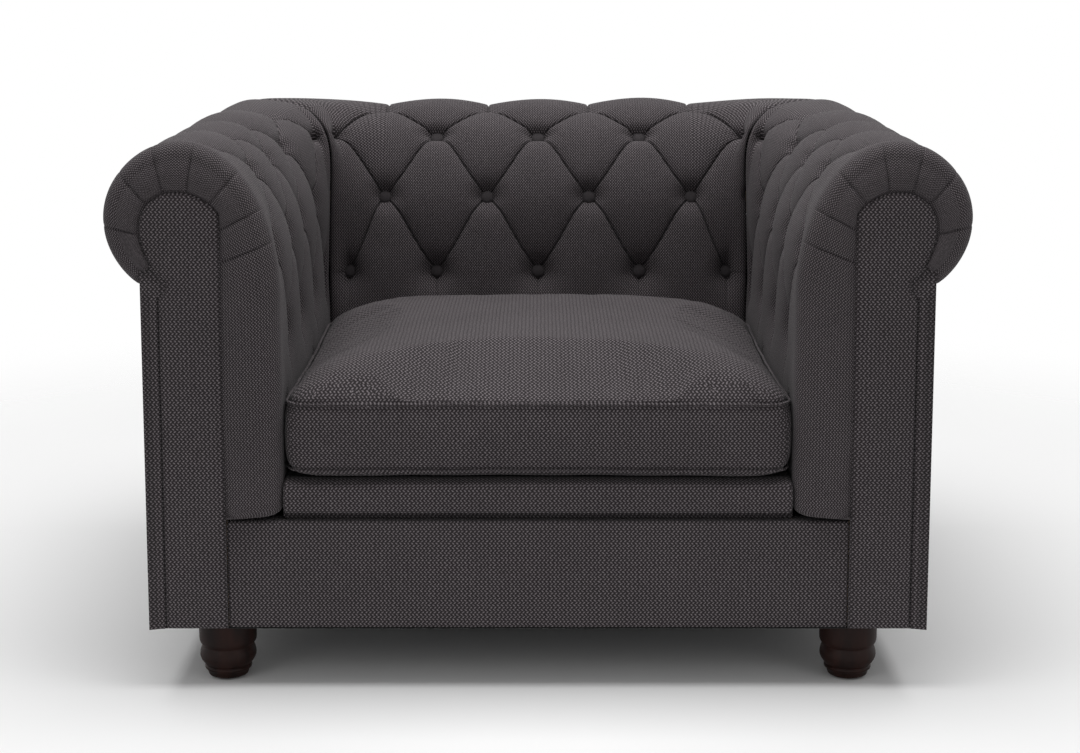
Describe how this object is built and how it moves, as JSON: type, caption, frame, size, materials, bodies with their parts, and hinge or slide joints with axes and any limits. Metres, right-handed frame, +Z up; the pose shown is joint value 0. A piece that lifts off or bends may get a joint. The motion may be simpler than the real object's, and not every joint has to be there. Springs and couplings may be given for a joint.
{
  "type": "chesterfield armchair",
  "caption": "Upholstered armchair with rolled buttoned arms and back of one height, a loose welted seat cushion and turned feet.",
  "frame": {"origin": "on the floor, under the middle of the chair's width and depth", "axes": "+X to the chair's left as seen from the front (viewer's right), +Y from the front to the back, +Z up"},
  "size_m": [1.18, 0.913, 0.7664],
  "materials": {
    "upholstery_fabric": "woven, matte charcoal",
    "frame_wood": "planed, unfinished",
    "foot_wood": "turned, dark stain, satin lacquer",
    "webbing": "jute webbing",
    "spring_steel": "bright wire",
    "deck_cloth": "plain lining over felt",
    "dust_cloth": "thin black non-woven",
    "foam": "cut foam",
    "glide_plastic": "moulded",
    "zip_tape": "woven tape",
    "zip_metal": "dark lacquer"
  },
  "bodies": {
    "chair": {"arm_pad_left": "upholstery_fabric", "arm_pad_right": "upholstery_fabric", "back_pad": "upholstery_fabric", "outside_arm_left": "upholstery_fabric", "outside_arm_right": "upholstery_fabric", "outside_back": "upholstery_fabric", "arm_facing_left": "upholstery_fabric", "arm_facing_right": "upholstery_fabric", "front_apron": "upholstery_fabric", "front_lip": "upholstery_fabric", "arm_buttons_left": "upholstery_fabric", "arm_buttons_right": "upholstery_fabric", "back_buttons": "upholstery_fabric", "front_rail": "frame_wood", "rear_rail": "frame_wood", "spring_rail": "frame_wood", "side_rail_left": "frame_wood", "side_rail_right": "frame_wood", "arm_stump_left": "frame_wood", "arm_stump_right": "frame_wood", "rear_post_left": "frame_wood", "rear_post_right": "frame_wood", "arm_top_rail_left": "frame_wood", "arm_top_rail_right": "frame_wood", "arm_tack_rail_left": "frame_wood", "arm_tack_rail_right": "frame_wood", "back_post_centre": "frame_wood", "back_top_rail": "frame_wood", "back_tack_rail": "frame_wood", "corner_blocks": "frame_wood", "arm_scroll_board_left": "frame_wood", "arm_scroll_board_right": "frame_wood", "foot_front_left": "foot_wood", "foot_front_right": "foot_wood", "foot_rear_left": "foot_wood", "foot_rear_right": "foot_wood", "arm_webbing_left": "webbing", "arm_webbing_right": "webbing", "back_webbing": "webbing", "sinuous_springs": "spring_steel", "spring_clips": "spring_steel", "spring_tie_wires": "spring_steel", "hanger_bolts": "spring_steel", "tee_nuts": "spring_steel", "seat_deck_pad": "deck_cloth", "dust_cover": "dust_cloth", "foot_glides": "glide_plastic"},
    "seat_cushion": {"cushion_cover": "upholstery_fabric", "cushion_foam_core": "foam", "cushion_welt_top": "upholstery_fabric", "cushion_welt_bottom": "upholstery_fabric", "zip_tape": "zip_tape"},
    "zip_slider": {"zip_slider": "zip_metal"}
  },
  "joints": [
    {"name": "cushion_lift", "type": "slide", "parent": "chair", "child": "seat_cushion", "axis": [0, 0, 1], "range_m": [0, 0.4]},
    {"name": "zip_slide", "type": "slide", "parent": "seat_cushion", "child": "zip_slider", "axis": [1, 0, 0], "range_m": [-0.544, 0]}
  ]
}
